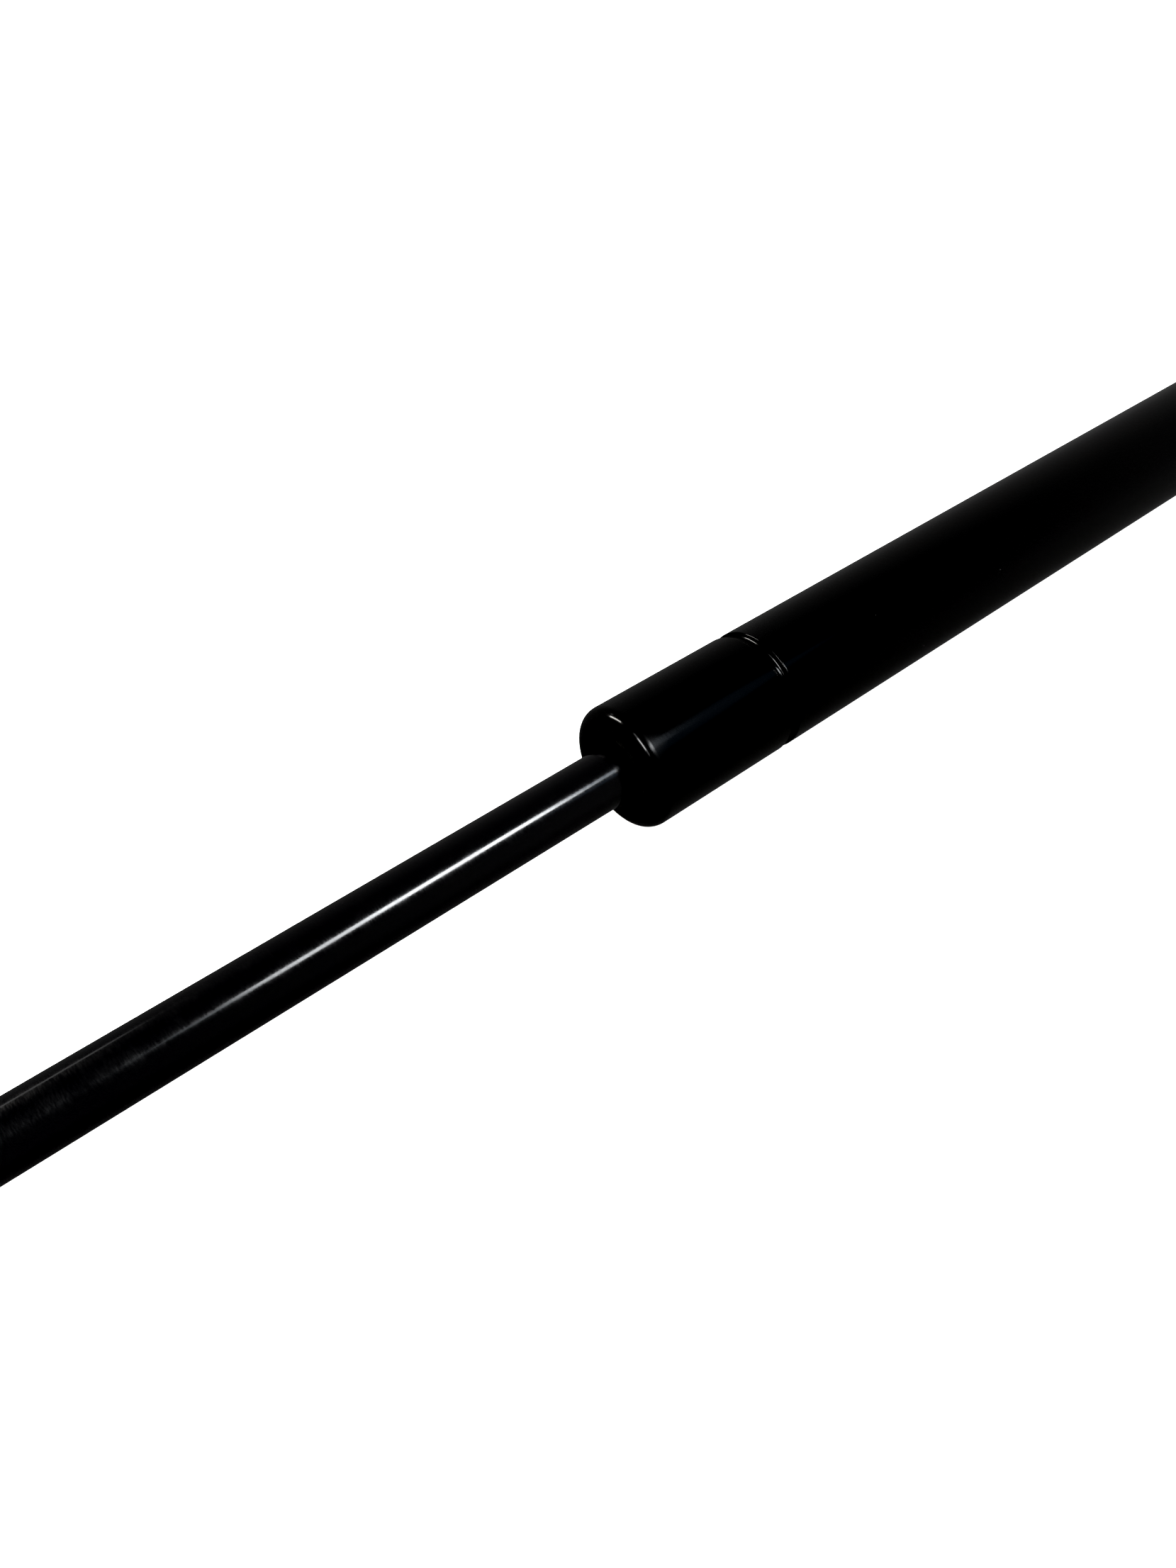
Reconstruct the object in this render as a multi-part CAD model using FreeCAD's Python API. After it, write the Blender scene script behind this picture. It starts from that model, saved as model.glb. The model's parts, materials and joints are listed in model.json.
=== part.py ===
import FreeCAD, Part
import math
import os

# A compression gas spring, 8 mm rod in an 18 mm tube, with a ball socket and a ball stud at each end.
# Millimetres. The spring's axis runs along X: the rod points to -X and the tube's closed end to +X.
# The origin is the centre of the seat of the ball stud at the tube's end, and the studs point to -Z.

Vector = FreeCAD.Vector
ALONG_X = Vector(1, 0, 0)
ALONG_Y = Vector(0, 1, 0)
ALONG_Z = Vector(0, 0, 1)
FULL_TURN = 360
HEX_SIDES = 6
HEX_BEVEL_DEGREES = 30

# Travel
stroke = 200.0                # way of the rod from fully out to fully in
compressed_gap = 4.0          # rod left outside the mouth when it is fully in
end_cushion = 1.5             # room left behind the rivet head when the rod is fully in
out_stop_gap = 0.1            # from the piston's edge to the mouth groove's ridge, which stops it

# Pressure tube
tube_radius = 9.0
tube_wall = 1.25
roll_in_inside_radius = 1.05  # inside bend of the two rolled-in ends
lip_flat = 0.475              # flat of a rolled-in lip, between its bend and its round edge
groove_depth = 0.65           # how far a rolled groove sinks into the tube
groove_edge_outside = 0.25    # outside radius of the two edges beside a groove
groove_floor_outside = 0.9    # outside radius of the bend at its floor
ridge_side_inside = 0.5       # inside radius of the two bends beside its ridge in the bore

# Fits
seat_clearance = 0.05         # loose pieces in the tube, all round
running_clearance = 0.04      # bush on the rod
lip_clearance = 0.02          # seal and wiper lips on the rod, piston ring on the bore
press_clearance = 0.01
thread_clearance = 0.03
squeeze_gap = 0.02            # between a squeezed O-ring and its faces

# Guide pieces, in order from the mouth inwards; bore gaps are measured from the rod
cover_washer_thickness = 1.5
cover_washer_bore_gap = 0.6
wiper_length = 2.5
wiper_bore_gap = 1.2
wiper_lip_width = 0.5
wiper_recess_depth = 1.2      # the recess that frees its lip
wiper_rim_width = 1.6
bush_length = 6.5
bush_wall = 0.95
bush_inset = 0.5
bush_edge = 0.25
guide_collar_length = 3.0     # the part of the guide behind the bush
guide_collar_bore_gap = 0.4
guide_relief_count = 2        # relief grooves round the guide's outside
guide_relief_depth = 0.6
guide_relief_width = 2.0
seal_length = 5.5
seal_pocket_depth = 3.2       # the groove that gas pressure spreads
seal_lip_width = 1.1
seal_lip_thickness = 0.9
seal_lip_relief = 0.35
seal_pocket_chamfer = 0.5
support_ring_length = 2.6
support_ring_bore_gap = 0.5
support_ring_chamfer = 0.4

# Rod and piston
rod_radius = 4.0
spigot_step = 1.0             # the stepped end that carries the piston is this much smaller all round
piston_washer_thickness = 1.2
piston_washer_inset = 0.1     # under the floor of the piston's groove: it leaves the throttle open
piston_washer_edge = 0.3
piston_length = 8.0
piston_side_gap = 0.2         # between piston and bore
piston_chamfer = 0.4
piston_ring_width = 1.9
piston_ring_height = 1.7      # radial height of its section
piston_ring_edge = 0.3
piston_ring_float = 0.2       # play on each side, which lets the ring work as a valve
piston_groove_room = 0.4      # gas space under the ring
oil_slot_radius = 0.9
oil_slot_count = 3
throttle_radius = 0.5
valve_disc_thickness = 0.5
valve_disc_overhang = 2.8     # past the spigot, all round
valve_disc_lobes = 6
valve_notch_radius = 1.3
rivet_head_overhang = 1.6
rivet_head_height = 1.6
rivet_head_round = 1.2

# End plug
plug_length = 10.0
plug_nose_height = 1.0        # how far its nose stands out of the tube
plug_nose_chamfer = 0.3
plug_inner_chamfer = 0.5
plug_ring_cord_radius = 0.9   # its O-ring
plug_ring_side_room = 0.25
plug_dish_radius = 5.0        # shallow dish on the gas side
plug_dish_depth = 1.5

# Threads and lock nuts
thread_step = 0.05            # crests of the M8 thread under the rod's surface
thread_tip_chamfer = 0.8
thread_engagement = 12.0      # thread inside a socket
thread_spare = 1.0            # depth of the tapped hole past the thread's tip
thread_countersink = 0.4
lock_nut_height = 4.0
hex_across_flats = 13.0       # lock nuts and ball studs

# Snap rings that hold the balls
snap_wire_radius = 0.6
snap_ring_drop = 2.6          # ring's centre under the ball centre
snap_ring_play = 0.05
snap_ring_gap_degrees = 22.0
snap_groove_spread = 0.75     # room for the ring to open as the ball snaps in

# Ball sockets
ball_radius = 5.0
ball_clearance = 0.05
socket_wall = 3.0             # from the ball to the head's outside
socket_crown = 1.55           # over the ball's seat
socket_lip_height = 2.75      # from the snap ring's groove to the mouth
socket_mouth_gap = 0.2        # between the mouth and the ball that passes it
socket_mouth_lead_in = 0.8
socket_neck_wall = 1.55       # round the thread
socket_top_round = 2.2
socket_edge_chamfer = 0.8
socket_web = 1.6              # between the snap ring's groove and the tapped hole

# Ball studs
ball_top_flat_radius = 2.0
tilt_room = 4.0               # from the socket's mouth down to the hexagon
stud_neck_radius = 2.9
stud_neck_flare = 1.4         # at the neck's foot
stud_hex_height = 4.0
stud_thread_radius = 4.0
stud_thread_length = 14.0
stud_tip_chamfer = 1.0

# Sections
bore_radius = tube_radius - tube_wall
fitted_radius = bore_radius - seat_clearance
roll_in_radius = roll_in_inside_radius + tube_wall
lip_hole_radius = tube_radius - roll_in_radius - lip_flat - tube_wall / 2
groove_bend_sum = groove_edge_outside + groove_floor_outside
groove_half_width = math.sqrt(groove_bend_sum ** 2 - (groove_bend_sum - groove_depth) ** 2)
ridge_radius = groove_floor_outside + tube_wall
ridge_bend_sum = ridge_side_inside + ridge_radius
ridge_half_width = math.sqrt(ridge_bend_sum ** 2 - (ridge_bend_sum - groove_depth) ** 2)
stop_half_width = math.sqrt(ridge_radius ** 2 - (ridge_radius - groove_depth + piston_side_gap) ** 2)
guide_seat_depth = bush_length + bush_inset
guide_length = guide_seat_depth + guide_collar_length
piston_radius = bore_radius - piston_side_gap
piston_ring_radius = bore_radius - lip_clearance
piston_groove_floor = piston_ring_radius - piston_ring_height - piston_groove_room
spigot_radius = rod_radius - spigot_step
spigot_hole_radius = spigot_radius + lip_clearance
thread_radius = rod_radius - thread_step
tapped_radius = thread_radius + thread_clearance
snap_ring_reach = ball_radius + snap_ring_play + snap_wire_radius
snap_ring_radius = math.sqrt(snap_ring_reach ** 2 - snap_ring_drop ** 2)
snap_groove_radius = snap_ring_radius + snap_wire_radius + snap_groove_spread
snap_groove_half_height = snap_wire_radius + snap_ring_play
socket_mouth_drop = snap_ring_drop + snap_groove_half_height + socket_lip_height
socket_head_radius = ball_radius + socket_wall
socket_reach = snap_groove_radius + socket_web + thread_engagement + thread_spare
axis_height = stud_hex_height + tilt_room + socket_mouth_drop
hex_half_flats = hex_across_flats / 2
hex_corner_radius = hex_half_flats / math.cos(math.pi / HEX_SIDES)
hex_bevel_height = (hex_corner_radius - hex_half_flats) * math.tan(math.radians(HEX_BEVEL_DEGREES))

# Places along the spring, worked out from the ball centre at the tube's end
guide_stack = (tube_wall + cover_washer_thickness + wiper_length + guide_length
               + seal_length + support_ring_length)
piston_depth = guide_stack + ridge_half_width + stop_half_width + out_stop_gap - piston_chamfer
piston_stack = piston_length + valve_disc_thickness + rivet_head_height
plug_stack = tube_wall + plug_length + 2 * ridge_half_width
tube_length = piston_depth + piston_stack + stroke + end_cushion + plug_stack
tube_end_x = -(socket_reach + lock_nut_height + plug_nose_height)
mouth_x = tube_end_x - tube_length
mouth_groove_x = mouth_x + guide_stack + ridge_half_width
plug_groove_x = tube_end_x - plug_stack + ridge_half_width
cover_washer_x = mouth_x + tube_wall
wiper_x = cover_washer_x + cover_washer_thickness
guide_x = wiper_x + wiper_length
seal_x = guide_x + guide_length
support_ring_x = seal_x + seal_length
piston_x = mouth_x + piston_depth
piston_washer_x = piston_x - piston_washer_thickness
valve_disc_x = piston_x + piston_length
piston_ring_x = piston_x + piston_length / 2
plug_x = tube_end_x - tube_wall - plug_length
plug_ring_x = plug_x + plug_length / 2
rod_thread_x = mouth_x - stroke - compressed_gap
rod_ball_x = rod_thread_x - lock_nut_height - socket_reach


def line(start, end):
    return Part.LineSegment(start, end).toShape()


def arc(centre, radius, start_degrees, end_degrees):
    """An arc in the X-Z plane; degrees turn from +X towards +Z."""
    def at(degrees):
        turn = math.radians(degrees)
        return centre + Vector(radius * math.cos(turn), 0, radius * math.sin(turn))
    return Part.Arc(at(start_degrees), at((start_degrees + end_degrees) / 2), at(end_degrees)).toShape()


def rounded_corner(before, corner, after, radius):
    """Start, middle and end of the arc that rounds a corner."""
    towards_before = (before - corner).normalize()
    towards_after = (after - corner).normalize()
    half_angle = towards_before.getAngle(towards_after) / 2
    reach = radius / math.tan(half_angle)
    bisector = (towards_before + towards_after).normalize()
    middle = corner + bisector * (radius / math.sin(half_angle) - radius)
    return corner + towards_before * reach, middle, corner + towards_after * reach


def outline(corners):
    """A closed face in the X-Z plane from (x, z) or (x, z, rounding radius) corners."""
    places = [Vector(corner[0], 0, corner[1]) for corner in corners]
    pieces = []
    for index, corner in enumerate(corners):
        here = places[index]
        if len(corner) == 2:
            pieces.append((here, None, here))
            continue
        after = places[(index + 1) % len(places)]
        start, middle, end = rounded_corner(places[index - 1], here, after, corner[2])
        pieces.append((start, Part.Arc(start, middle, end).toShape(), end))
    edges = []
    pen = pieces[-1][2]
    for start, curve, end in pieces:
        edges.append(line(pen, start))
        if curve:
            edges.append(curve)
        pen = end
    return Part.Face(Part.Wire(edges))


def turned(corners):
    """A piece turned about the spring's axis, from (x, radius) or (x, radius, rounding) corners."""
    raised = [(corner[0], corner[1] + axis_height) + tuple(corner[2:]) for corner in corners]
    return outline(raised).revolve(Vector(0, 0, axis_height), ALONG_X, FULL_TURN)


def turned_upright(ball_x, corners):
    """A piece turned about the vertical through a ball centre, from (radius, height) corners."""
    moved = [(corner[0] + ball_x, corner[1] + axis_height) + tuple(corner[2:]) for corner in corners]
    return outline(moved).revolve(Vector(ball_x, 0, axis_height), ALONG_Z, FULL_TURN)


def along_axis(radius, start_x, length, offset=0):
    """A plain cylinder along the spring, offset above its axis."""
    return Part.makeCylinder(radius, length, Vector(start_x, 0, axis_height + offset), ALONG_X)


def around_axis(shape, count):
    """Copies of a shape, evenly spaced round the spring's axis."""
    copies = []
    for index in range(count):
        copy = shape.copy()
        copy.rotate(Vector(0, 0, axis_height), ALONG_X, index * FULL_TURN / count)
        copies.append(copy)
    return copies


def hexagon_prism(base, direction, height):
    corners = []
    for side in range(HEX_SIDES + 1):
        turn = 2 * math.pi * side / HEX_SIDES
        corners.append(Vector(math.cos(turn), math.sin(turn), 0) * hex_corner_radius)
    prism = Part.Face(Part.makePolygon(corners)).extrude(ALONG_Z * height)
    prism.Placement = FreeCAD.Placement(base, FreeCAD.Rotation(ALONG_Z, direction))
    return prism


def groove_bends(centre_x, top, half_width, side_radius, floor_radius):
    """The three tangent arcs of a rolled groove, or of its ridge in the bore, sunk from a top line."""
    slope = math.degrees(math.asin(half_width / (side_radius + floor_radius)))
    left = Vector(centre_x - half_width, 0, top - side_radius)
    floor = Vector(centre_x, 0, top - groove_depth + floor_radius)
    right = Vector(centre_x + half_width, 0, top - side_radius)
    return [
        arc(left, side_radius, 90, 90 - slope),
        arc(floor, floor_radius, 270 - slope, 270 + slope),
        arc(right, side_radius, 90 + slope, 90),
    ]


def tube_surface(depth, half_width, side_radius, floor_radius):
    """The line of the tube's wall from lip to lip, depth under its outer surface, over both grooves."""
    top = axis_height + tube_radius - depth
    bend = roll_in_radius - depth
    bend_height = axis_height + tube_radius - roll_in_radius
    lip_height = bend_height - lip_flat
    mouth_bend_x = mouth_x + roll_in_radius
    end_bend_x = tube_end_x - roll_in_radius

    def lip(x):
        return line(Vector(x, 0, lip_height), Vector(x, 0, bend_height))

    def straight(start_x, end_x):
        return line(Vector(start_x, 0, top), Vector(end_x, 0, top))

    return (
        [lip(mouth_x + depth), arc(Vector(mouth_bend_x, 0, bend_height), bend, 180, 90)]
        + [straight(mouth_bend_x, mouth_groove_x - half_width)]
        + groove_bends(mouth_groove_x, top, half_width, side_radius, floor_radius)
        + [straight(mouth_groove_x + half_width, plug_groove_x - half_width)]
        + groove_bends(plug_groove_x, top, half_width, side_radius, floor_radius)
        + [straight(plug_groove_x + half_width, end_bend_x)]
        + [arc(Vector(end_bend_x, 0, bend_height), bend, 90, 0), lip(tube_end_x - depth)]
    )


def make_pressure_tube():
    """The wall, rolled in at both ends over what it holds, with a sharp groove rolled in behind each."""
    lip_height = axis_height + tube_radius - roll_in_radius - lip_flat
    half_wall = tube_wall / 2
    mouth_lip = arc(Vector(mouth_x + half_wall, 0, lip_height), half_wall, 180, 360)
    end_lip = arc(Vector(tube_end_x - half_wall, 0, lip_height), half_wall, 180, 360)
    outside = tube_surface(0, groove_half_width, groove_edge_outside, groove_floor_outside)
    inside = tube_surface(tube_wall, ridge_half_width, ridge_side_inside, ridge_radius)
    wall = Part.Face(Part.Wire(Part.__sortEdges__(outside + [end_lip] + inside + [mouth_lip])))
    return wall.revolve(Vector(0, 0, axis_height), ALONG_X, FULL_TURN)


def make_end_plug():
    """The plug with its O-ring groove, its nose through the lip and the threaded end for the socket."""
    outer_x = tube_end_x - tube_wall
    nose_x = tube_end_x + plug_nose_height
    tip_x = nose_x + lock_nut_height + thread_engagement
    nose_radius = lip_hole_radius - seat_clearance
    ring_floor = bore_radius - 2 * (plug_ring_cord_radius + squeeze_gap)
    half_groove = plug_ring_cord_radius + plug_ring_side_room
    return turned([
        (plug_x + plug_dish_depth, 0),
        (plug_x + plug_dish_depth, plug_dish_radius - plug_dish_depth),
        (plug_x, plug_dish_radius),
        (plug_x, fitted_radius - plug_inner_chamfer),
        (plug_x + plug_inner_chamfer, fitted_radius),
        (plug_ring_x - half_groove, fitted_radius),
        (plug_ring_x - half_groove, ring_floor),
        (plug_ring_x + half_groove, ring_floor),
        (plug_ring_x + half_groove, fitted_radius),
        (outer_x - roll_in_inside_radius, fitted_radius),
        (outer_x, fitted_radius - roll_in_inside_radius),
        (outer_x, nose_radius),
        (nose_x - plug_nose_chamfer, nose_radius),
        (nose_x, nose_radius - plug_nose_chamfer),
        (nose_x, thread_radius),
        (tip_x - thread_tip_chamfer, thread_radius),
        (tip_x, thread_radius - thread_tip_chamfer),
        (tip_x, 0),
    ])


def make_end_plug_o_ring():
    ring_radius = bore_radius - squeeze_gap - plug_ring_cord_radius
    centre = Vector(plug_ring_x, 0, axis_height)
    return Part.makeTorus(ring_radius, plug_ring_cord_radius, centre, ALONG_X)


def make_cover_washer():
    """The steel washer behind the rolled-in lip; its chamfer clears the bend of the tube's wall."""
    back_x = cover_washer_x + cover_washer_thickness
    bore = rod_radius + cover_washer_bore_gap
    return turned([
        (cover_washer_x, bore),
        (back_x, bore),
        (back_x, fitted_radius),
        (cover_washer_x + roll_in_inside_radius, fitted_radius),
        (cover_washer_x, fitted_radius - roll_in_inside_radius),
    ])


def make_wiper_ring():
    """A rubber ring with a free lip that points out of the mouth and keeps dirt off the seal."""
    back_x = wiper_x + wiper_length
    recess_x = wiper_x + wiper_recess_depth
    lip_radius = rod_radius + lip_clearance
    return turned([
        (wiper_x, lip_radius),
        (wiper_x + wiper_lip_width, lip_radius),
        (back_x, rod_radius + wiper_bore_gap),
        (back_x, fitted_radius),
        (wiper_x, fitted_radius),
        (wiper_x, fitted_radius - wiper_rim_width),
        (recess_x, rod_radius + wiper_bore_gap),
        (wiper_x, lip_radius + wiper_lip_width),
    ])


def make_rod_guide():
    """The moulded guide: a seat for the bush, a smaller collar behind it, and relief grooves outside."""
    back_x = guide_x + guide_length
    seat_radius = rod_radius + running_clearance + bush_wall + press_clearance
    seat_end_x = guide_x + guide_seat_depth
    collar_radius = rod_radius + guide_collar_bore_gap
    relief_floor = fitted_radius - guide_relief_depth
    land = (guide_length - guide_relief_count * guide_relief_width) / (guide_relief_count + 1)
    profile = [
        (guide_x, seat_radius + bush_inset),
        (guide_x + bush_inset, seat_radius),
        (seat_end_x, seat_radius),
        (seat_end_x, collar_radius),
        (back_x, collar_radius),
        (back_x, fitted_radius),
    ]
    for groove in range(guide_relief_count, 0, -1):
        groove_end = guide_x + groove * (land + guide_relief_width)
        groove_start = groove_end - guide_relief_width
        profile += [(groove_end, fitted_radius), (groove_end, relief_floor)]
        profile += [(groove_start, relief_floor), (groove_start, fitted_radius)]
    return turned(profile + [(guide_x, fitted_radius)])


def make_guide_bush():
    """The bearing bush that the rod runs in, pressed into the guide."""
    inner = rod_radius + running_clearance
    outer = inner + bush_wall
    end_x = guide_x + guide_seat_depth
    start_x = end_x - bush_length
    return turned([
        (start_x, inner + bush_edge),
        (start_x + bush_edge, inner),
        (end_x - bush_edge, inner),
        (end_x, inner + bush_edge),
        (end_x, outer),
        (start_x + bush_edge, outer),
        (start_x, outer - bush_edge),
    ])


def make_rod_seal():
    """A lip seal: its pocket opens to the gas, which presses one lip on the rod and one on the tube."""
    back_x = seal_x + seal_length
    pocket_x = back_x - seal_pocket_depth
    lip_radius = rod_radius + lip_clearance
    relieved = lip_radius + seal_lip_relief
    pocket_inner = lip_radius + seal_lip_thickness
    pocket_outer = fitted_radius - seal_lip_thickness
    return turned([
        (seal_x, relieved),
        (back_x - seal_lip_width, relieved),
        (back_x - seal_lip_width / 2, lip_radius),
        (back_x, relieved),
        (back_x, pocket_inner),
        (pocket_x + seal_pocket_chamfer, pocket_inner),
        (pocket_x, pocket_inner + seal_pocket_chamfer),
        (pocket_x, pocket_outer - seal_pocket_chamfer),
        (pocket_x + seal_pocket_chamfer, pocket_outer),
        (back_x, pocket_outer),
        (back_x, fitted_radius),
        (seal_x, fitted_radius),
    ])


def make_support_ring():
    """The ring between the seal and the rolled groove, which holds the whole guide stack in place."""
    back_x = support_ring_x + support_ring_length
    bore = rod_radius + support_ring_bore_gap
    return turned([
        (support_ring_x, bore),
        (back_x, bore),
        (back_x, fitted_radius - support_ring_chamfer),
        (back_x - support_ring_chamfer, fitted_radius),
        (support_ring_x, fitted_radius),
    ])


def make_piston_rod():
    """The ground rod with its threaded tip, and the stepped end that is riveted over the piston."""
    tip_x = rod_thread_x - lock_nut_height - thread_engagement
    spigot_end_x = valve_disc_x + valve_disc_thickness
    head_end_x = spigot_end_x + rivet_head_height
    head_radius = spigot_radius + rivet_head_overhang
    return turned([
        (tip_x, 0),
        (tip_x, thread_radius - thread_tip_chamfer),
        (tip_x + thread_tip_chamfer, thread_radius),
        (rod_thread_x, thread_radius),
        (rod_thread_x, rod_radius),
        (piston_washer_x, rod_radius),
        (piston_washer_x, spigot_radius),
        (spigot_end_x, spigot_radius),
        (spigot_end_x, head_radius),
        (head_end_x, head_radius, rivet_head_round),
        (head_end_x, 0),
    ])


def make_piston_washer():
    outer = piston_groove_floor - piston_washer_inset
    return turned([
        (piston_washer_x, spigot_hole_radius),
        (piston_x, spigot_hole_radius),
        (piston_x, outer),
        (piston_washer_x + piston_washer_edge, outer),
        (piston_washer_x, outer - piston_washer_edge),
    ])


def make_piston():
    """The piston: a wide groove for its floating ring, oil slots behind it and a throttle hole before."""
    half_groove = piston_ring_width / 2 + piston_ring_float
    body = turned([
        (piston_x, spigot_hole_radius),
        (valve_disc_x, spigot_hole_radius),
        (valve_disc_x, piston_radius - piston_chamfer),
        (valve_disc_x - piston_chamfer, piston_radius),
        (piston_ring_x + half_groove, piston_radius),
        (piston_ring_x + half_groove, piston_groove_floor),
        (piston_ring_x - half_groove, piston_groove_floor),
        (piston_ring_x - half_groove, piston_radius),
        (piston_x + piston_chamfer, piston_radius),
        (piston_x, piston_radius - piston_chamfer),
    ])
    half_length = piston_length / 2
    slot = along_axis(oil_slot_radius, piston_ring_x, half_length, piston_radius)
    throttle = along_axis(throttle_radius, piston_x, half_length, piston_groove_floor + throttle_radius)
    return body.cut(around_axis(slot, oil_slot_count) + [throttle])


def make_piston_ring():
    start_x = piston_ring_x - piston_ring_width / 2
    end_x = start_x + piston_ring_width
    inner = piston_ring_radius - piston_ring_height
    return turned([
        (start_x, inner),
        (end_x, inner),
        (end_x, piston_ring_radius - piston_ring_edge),
        (end_x - piston_ring_edge, piston_ring_radius),
        (start_x + piston_ring_edge, piston_ring_radius),
        (start_x, piston_ring_radius - piston_ring_edge),
    ])


def make_valve_disc():
    """The thin star-shaped disc between the piston and the rivet head."""
    radius = spigot_radius + valve_disc_overhang
    disc = along_axis(radius, valve_disc_x, valve_disc_thickness)
    hole = along_axis(spigot_hole_radius, valve_disc_x, valve_disc_thickness)
    notch = along_axis(valve_notch_radius, valve_disc_x, valve_disc_thickness, radius)
    return disc.cut([hole] + around_axis(notch, valve_disc_lobes))


def make_lock_nut(start_x):
    """A thin hexagon nut, its corners bevelled on both faces."""
    end_x = start_x + lock_nut_height
    body = turned([
        (start_x, tapped_radius + thread_countersink),
        (start_x + thread_countersink, tapped_radius),
        (end_x - thread_countersink, tapped_radius),
        (end_x, tapped_radius + thread_countersink),
        (end_x, hex_half_flats),
        (end_x - hex_bevel_height, hex_corner_radius),
        (start_x + hex_bevel_height, hex_corner_radius),
        (start_x, hex_half_flats),
    ])
    return body.common(hexagon_prism(Vector(start_x, 0, axis_height), ALONG_X, lock_nut_height))


def make_ball_socket(ball_x, side):
    """A ball socket with its neck towards side * X; its cup opens downwards and is grooved inside."""
    end_x = ball_x + side * socket_reach
    seat_radius = ball_radius + ball_clearance
    mouth_radius = ball_radius + socket_mouth_gap
    neck_radius = tapped_radius + socket_neck_wall
    head_top = seat_radius + socket_crown
    head = turned_upright(ball_x, [
        (0, -socket_mouth_drop),
        (socket_head_radius - socket_edge_chamfer, -socket_mouth_drop),
        (socket_head_radius, -socket_mouth_drop + socket_edge_chamfer),
        (socket_head_radius, head_top, socket_top_round),
        (0, head_top),
    ])
    neck = turned([
        (ball_x, 0),
        (ball_x, neck_radius),
        (end_x - side * socket_edge_chamfer, neck_radius),
        (end_x, neck_radius - socket_edge_chamfer),
        (end_x, 0),
    ])
    hole_end_x = end_x - side * (thread_engagement + thread_spare)
    tapped_hole = turned([
        (hole_end_x, 0),
        (hole_end_x, tapped_radius),
        (end_x - side * thread_countersink, tapped_radius),
        (end_x, tapped_radius + thread_countersink),
        (end_x, 0),
    ])
    groove_top = -snap_ring_drop + snap_groove_half_height
    groove_bottom = -snap_ring_drop - snap_groove_half_height
    cup = turned_upright(ball_x, [
        (0, 0),
        (seat_radius, 0),
        (seat_radius, groove_top),
        (snap_groove_radius, groove_top),
        (snap_groove_radius, groove_bottom),
        (mouth_radius, groove_bottom),
        (mouth_radius, -socket_mouth_drop + socket_mouth_lead_in),
        (mouth_radius + socket_mouth_lead_in, -socket_mouth_drop),
        (0, -socket_mouth_drop),
    ])
    ball_seat = Part.makeSphere(seat_radius, Vector(ball_x, 0, axis_height))
    return head.fuse(neck).cut([tapped_hole, cup, ball_seat]).removeSplitter()


def make_snap_ring(ball_x):
    """An open ring of round spring wire under the ball's widest line."""
    centre = Vector(ball_x, 0, axis_height - snap_ring_drop)
    wire_centre = centre + ALONG_X * snap_ring_radius
    section = Part.Face(Part.Wire(Part.makeCircle(snap_wire_radius, wire_centre, ALONG_Y)))
    ring = section.revolve(centre, ALONG_Z, FULL_TURN - snap_ring_gap_degrees)
    ring.rotate(centre, ALONG_Z, snap_ring_gap_degrees / 2)
    return ring


def make_ball_stud(ball_x):
    """Ball, waisted neck, hexagon with a flat seat under it, and the threaded shank."""
    centre = Vector(ball_x, 0, axis_height)
    seat = -axis_height
    tip = seat - stud_thread_length
    hex_top = seat + stud_hex_height
    neck_top = -math.sqrt(ball_radius ** 2 - stud_neck_radius ** 2)
    flat_height = math.sqrt(ball_radius ** 2 - ball_top_flat_radius ** 2)
    cap = Part.makeCylinder(ball_radius, ball_radius, centre + ALONG_Z * flat_height, ALONG_Z)
    ball = Part.makeSphere(ball_radius, centre).cut(cap)
    neck = turned_upright(ball_x, [
        (0, neck_top),
        (stud_neck_radius, neck_top),
        (stud_neck_radius, hex_top + stud_neck_flare),
        (stud_neck_radius + stud_neck_flare, hex_top),
        (0, hex_top),
    ])
    flange = turned_upright(ball_x, [
        (0, seat),
        (hex_half_flats, seat),
        (hex_corner_radius, seat + hex_bevel_height),
        (hex_corner_radius, hex_top - hex_bevel_height),
        (hex_half_flats, hex_top),
        (0, hex_top),
    ])
    hexagon = flange.common(hexagon_prism(Vector(ball_x, 0, 0), ALONG_Z, stud_hex_height))
    shank = turned_upright(ball_x, [
        (0, seat),
        (stud_thread_radius, seat),
        (stud_thread_radius, tip + stud_tip_chamfer),
        (stud_thread_radius - stud_tip_chamfer, tip),
        (0, tip),
    ])
    return ball.fuse([neck, hexagon, shank]).removeSplitter()


pieces = {
    "pressure_tube": make_pressure_tube(),
    "end_plug": make_end_plug(),
    "end_plug_o_ring": make_end_plug_o_ring(),
    "mouth_cover_washer": make_cover_washer(),
    "wiper_ring": make_wiper_ring(),
    "rod_guide": make_rod_guide(),
    "guide_bush": make_guide_bush(),
    "rod_seal": make_rod_seal(),
    "seal_support_ring": make_support_ring(),
    "piston_rod": make_piston_rod(),
    "piston_washer": make_piston_washer(),
    "piston": make_piston(),
    "piston_ring": make_piston_ring(),
    "valve_disc": make_valve_disc(),
    "rod_lock_nut": make_lock_nut(rod_thread_x - lock_nut_height),
    "tube_lock_nut": make_lock_nut(tube_end_x + plug_nose_height),
    "rod_ball_socket": make_ball_socket(rod_ball_x, 1),
    "tube_ball_socket": make_ball_socket(0, -1),
    "rod_snap_ring": make_snap_ring(rod_ball_x),
    "tube_snap_ring": make_snap_ring(0),
    "rod_ball_stud": make_ball_stud(rod_ball_x),
    "tube_ball_stud": make_ball_stud(0),
}

os.makedirs("parts", exist_ok=True)
for name, shape in pieces.items():
    shape.exportStep("parts/" + name + ".step")
print("tube", round(tube_length, 2), "mm long,", round(-rod_ball_x, 2), "mm between ball centres")
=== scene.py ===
import json
import math

import bpy
from mathutils import Matrix, Vector


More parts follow.
